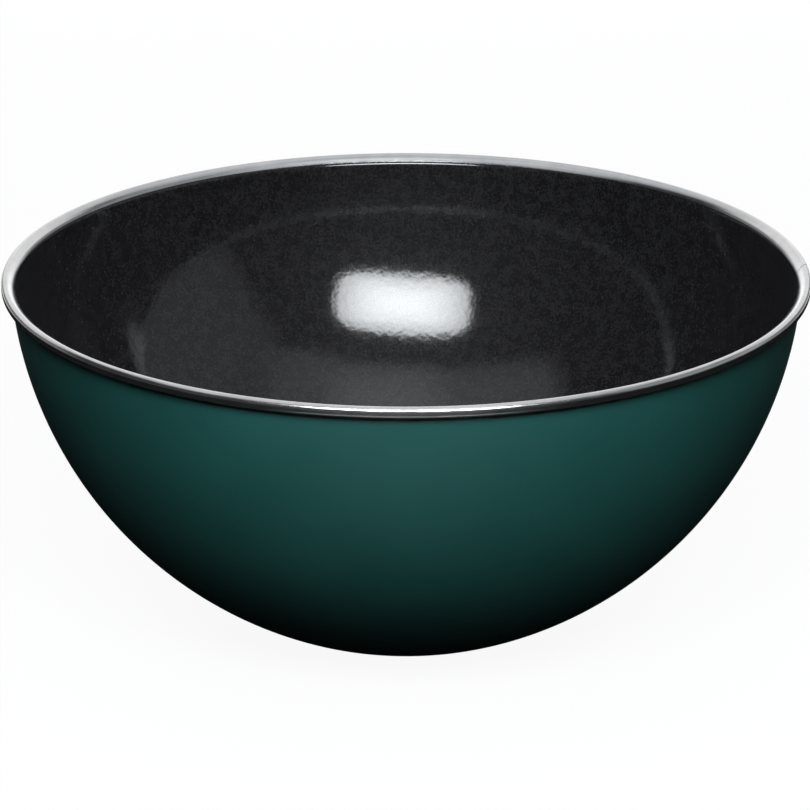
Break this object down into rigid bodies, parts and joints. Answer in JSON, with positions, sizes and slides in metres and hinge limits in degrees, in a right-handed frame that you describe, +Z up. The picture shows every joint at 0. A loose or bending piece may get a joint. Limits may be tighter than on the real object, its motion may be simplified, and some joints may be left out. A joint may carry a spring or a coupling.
{
  "type": "mixing bowl",
  "caption": "Deep round mixing bowl of enamelled steel, satin green outside and dark speckled inside, with a flat base and a bright steel rim band.",
  "frame": {"origin": "centre of the base, on the plane that the bowl stands on", "axes": "+Z up along the bowl's axis, +X to the right and +Y away from the viewer in the picture's view"},
  "size_m": [0.26, 0.26, 0.1165],
  "materials": {
    "sheet_steel": "bare rolled sheet, covered by enamel",
    "ground_enamel": "dark vitreous ground coat",
    "green_enamel": "satin dark green vitreous enamel",
    "speckled_enamel": "glossy charcoal vitreous enamel with fine pale specks",
    "stainless_strip": "polished stainless strip"
  },
  "bodies": {
    "root": {"steel_shell": "sheet_steel", "ground_coat": "ground_enamel", "outer_enamel": "green_enamel", "inner_enamel": "speckled_enamel", "rim_band": "stainless_strip"}
  },
  "joints": []
}
